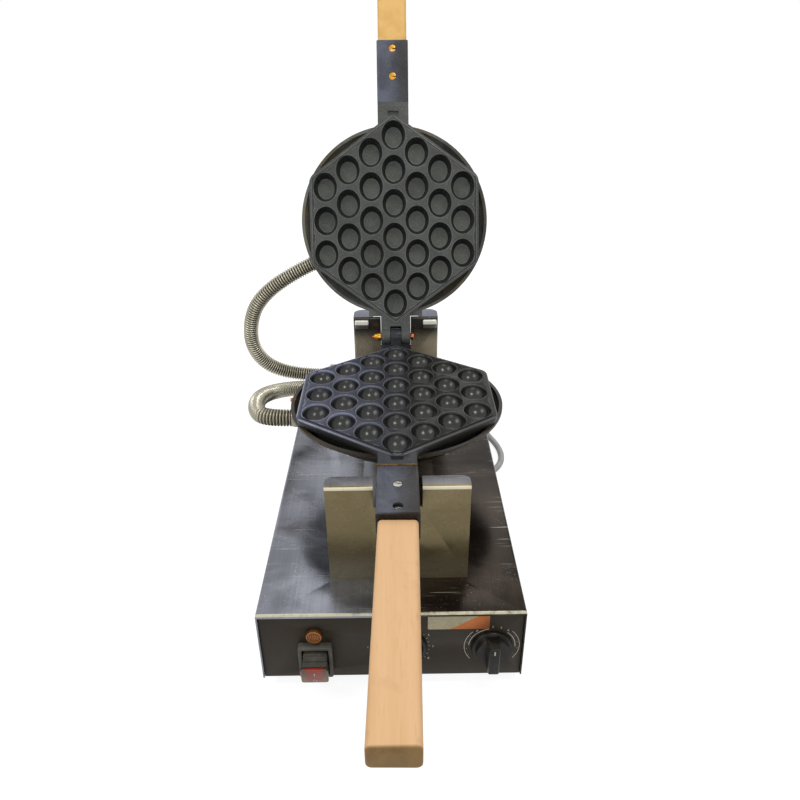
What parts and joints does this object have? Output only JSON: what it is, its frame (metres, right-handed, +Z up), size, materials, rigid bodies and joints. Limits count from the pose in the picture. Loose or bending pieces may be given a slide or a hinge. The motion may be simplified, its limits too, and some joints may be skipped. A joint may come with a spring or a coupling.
{
  "type": "egg waffle pan",
  "caption": "Electric egg waffle pan: two hinged cast pan halves with oval pockets and wooden handles, resting on two upright supports on a low base box with a dial panel.",
  "frame": {"origin": "centre of the underside of the base's bottom plate; the feet stand 10 mm lower", "axes": "+X to the right, +Y to the back, where the pan's hinge is, +Z up"},
  "size_m": [0.2902, 0.7326, 0.5935],
  "materials": {
    "cover_steel": "scratched polished stainless sheet",
    "zinc_sheet": "dull zinc",
    "black_panel": "satin black paint",
    "black_rubber": "matt",
    "screw_steel": "bright",
    "support_steel": "bright, lightly scratched",
    "black_plastic": "matt",
    "amber_lens": "clear amber",
    "red_plastic": "glossy",
    "zinc_steel": "zinc plated",
    "cream_plastic": "matt",
    "label_film": "satin",
    "coated_cast": "satin non-stick coating",
    "black_cast": "satin black coating",
    "heater_steel": "oxidised",
    "mineral_wool": "fibrous",
    "lower_wood": "smooth beech, lightly oiled",
    "upper_wood": "smooth beech, lightly oiled",
    "copper": "bright copper",
    "brass": "bright",
    "conduit_steel": "ribbed, polished",
    "grey_cord": "satin"
  },
  "bodies": {
    "base": {"top_cover": "cover_steel", "bottom_plate": "zinc_sheet", "front_panel": "black_panel", "rear_panel": "black_panel", "rubber_feet": "black_rubber", "foot_screws": "screw_steel", "cover_screws": "screw_steel", "front_support": "support_steel", "rear_support": "support_steel", "support_screws": "screw_steel", "lamp_body": "black_plastic", "lamp_lens": "amber_lens", "switch_frame": "black_plastic", "switch_body": "black_plastic", "switch_pivot": "zinc_steel", "thermostat_body": "zinc_steel", "timer_body": "cream_plastic", "front_label": "label_film", "terminal_block": "cream_plastic", "lower_plate": "coated_cast", "lower_housing": "black_cast", "lower_heater": "heater_steel", "lower_heater_pins": "cream_plastic", "lower_insulation": "mineral_wool", "lower_plate_screws": "screw_steel", "lower_grip": "lower_wood", "lower_grip_screws": "screw_steel", "lower_fitting": "zinc_steel", "sensor_bulb": "copper", "rim_screw": "copper", "lower_elbow": "zinc_steel", "upper_elbow": "zinc_steel", "lower_conduit": "conduit_steel", "upper_conduit": "conduit_steel", "cord_gland": "black_rubber", "power_cord": "grey_cord", "cord_coil": "grey_cord", "cord_tie": "black_plastic", "plug": "grey_cord", "plug_pins": "brass"},
    "lid": {"upper_plate": "coated_cast", "upper_housing": "black_cast", "upper_heater": "heater_steel", "upper_heater_pins": "cream_plastic", "upper_insulation": "mineral_wool", "upper_plate_screws": "screw_steel", "upper_grip": "upper_wood", "upper_grip_screws": "brass", "upper_fitting": "zinc_steel", "hinge_pin": "zinc_steel", "hinge_nut": "brass"},
    "rocker": {"switch_boot": "black_rubber", "switch_rocker": "red_plastic"},
    "temperature_dial": {"temperature_knob": "black_plastic", "temperature_shaft": "zinc_steel"},
    "timer_dial": {"timer_knob": "black_plastic", "timer_shaft": "zinc_steel"}
  },
  "joints": [
    {"name": "lid_hinge", "type": "hinge", "parent": "base", "child": "lid", "pos_m": [0.006, 0.0926, 0.1625], "axis": [1, 0, 0], "range_deg": [0, 112.1], "deforming": ["upper_conduit"]},
    {"name": "power_rocker", "type": "hinge", "parent": "base", "child": "rocker", "pos_m": [-0.0577, -0.1886, 0.0206], "axis": [1, 0, 0], "range_deg": [-14, 0]},
    {"name": "temperature_turn", "type": "hinge", "parent": "base", "child": "temperature_dial", "pos_m": [0.0065, -0.1911, 0.03], "axis": [0, 1, 0], "range_deg": [0, 270]},
    {"name": "timer_turn", "type": "hinge", "parent": "base", "child": "timer_dial", "pos_m": [0.0757, -0.1911, 0.03], "axis": [0, 1, 0], "range_deg": [0, 300]}
  ]
}
